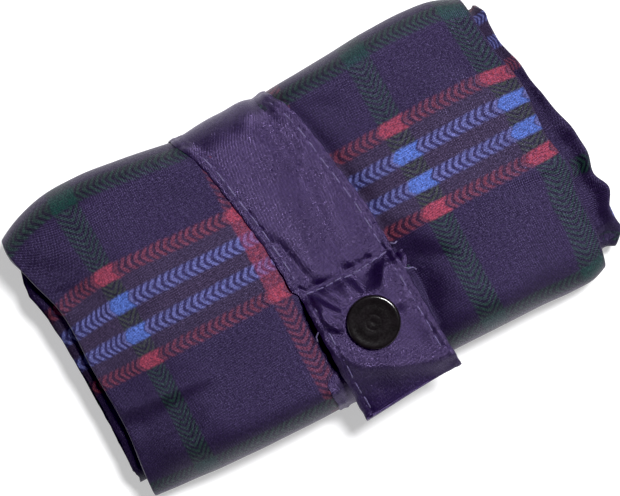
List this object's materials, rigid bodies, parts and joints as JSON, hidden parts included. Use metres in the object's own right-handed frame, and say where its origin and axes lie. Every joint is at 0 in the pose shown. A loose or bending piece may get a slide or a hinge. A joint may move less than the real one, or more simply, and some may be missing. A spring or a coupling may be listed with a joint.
{
  "type": "rolled fold-away shopping bag",
  "caption": "Tartan cloth shopping bag folded in thirds, rolled flat and held by a stitched satin strap with a round press stud.",
  "frame": {"origin": "on the underside of the tail strap, below the middle of the outer wrap; the roll lies on its back", "axes": "+X along the roll towards the ruffled end, +Y towards the edge that the strap comes over, +Z out of the front, the way the press stud's cap faces"},
  "size_m": [0.152, 0.0938, 0.0272],
  "materials": {
    "tartan_cloth": "fine plain weave, printed tartan on dark purple, slightly satin",
    "plain_cloth": "fine plain weave, dark purple",
    "strap_satin": "plain dark purple satin",
    "thread": "lilac polyester sewing thread",
    "gunmetal": "near-black enamel, semi-gloss",
    "stud_metal": "dark nickel plating",
    "spring_wire": "bright spring wire"
  },
  "bodies": {
    "bundle": {"back_panel": "tartan_cloth", "front_panel": "tartan_cloth", "gusset_left": "tartan_cloth", "gusset_right": "tartan_cloth", "handle_front": "plain_cloth", "handle_back": "plain_cloth", "bottom_seam": "thread", "strap_back": "strap_satin", "tail_back": "strap_satin", "anchor_stitch": "thread", "strap_back_stitch": "thread"},
    "strap": {"strap_front": "strap_satin", "front_stitch_left": "thread", "front_stitch_right": "thread"},
    "tab": {"strap_tab": "strap_satin", "tab_stitch_left": "thread", "tab_stitch_right": "thread", "cross_stitch": "thread", "snap_cap": "gunmetal", "snap_socket": "stud_metal", "socket_spring": "spring_wire"},
    "tail": {"tail_front": "strap_satin", "tail_stitch_left": "thread", "tail_stitch_right": "thread", "snap_stud": "stud_metal", "stud_rivet": "stud_metal"}
  },
  "joints": [
    {"name": "strap_open", "type": "hinge", "parent": "bundle", "child": "strap", "pos_m": [-0.005, 0.04395, 0.01095], "axis": [-1, 0, 0], "range_deg": [0, 150], "deforming": ["socket_spring"]},
    {"name": "tab_peel", "type": "hinge", "parent": "strap", "child": "tab", "pos_m": [0.006, -0.01105, 0.0219], "axis": [-1, 0, 0], "range_deg": [0, 60], "deforming": ["socket_spring"]},
    {"name": "tail_open", "type": "hinge", "parent": "bundle", "child": "tail", "pos_m": [0.0026, -0.04395, 0.01095], "axis": [1, 0, 0], "range_deg": [0, 75]}
  ],
  "couplings": [
    {"joint": "tail_open", "follows": "strap_open", "ratio": 0.5}
  ]
}
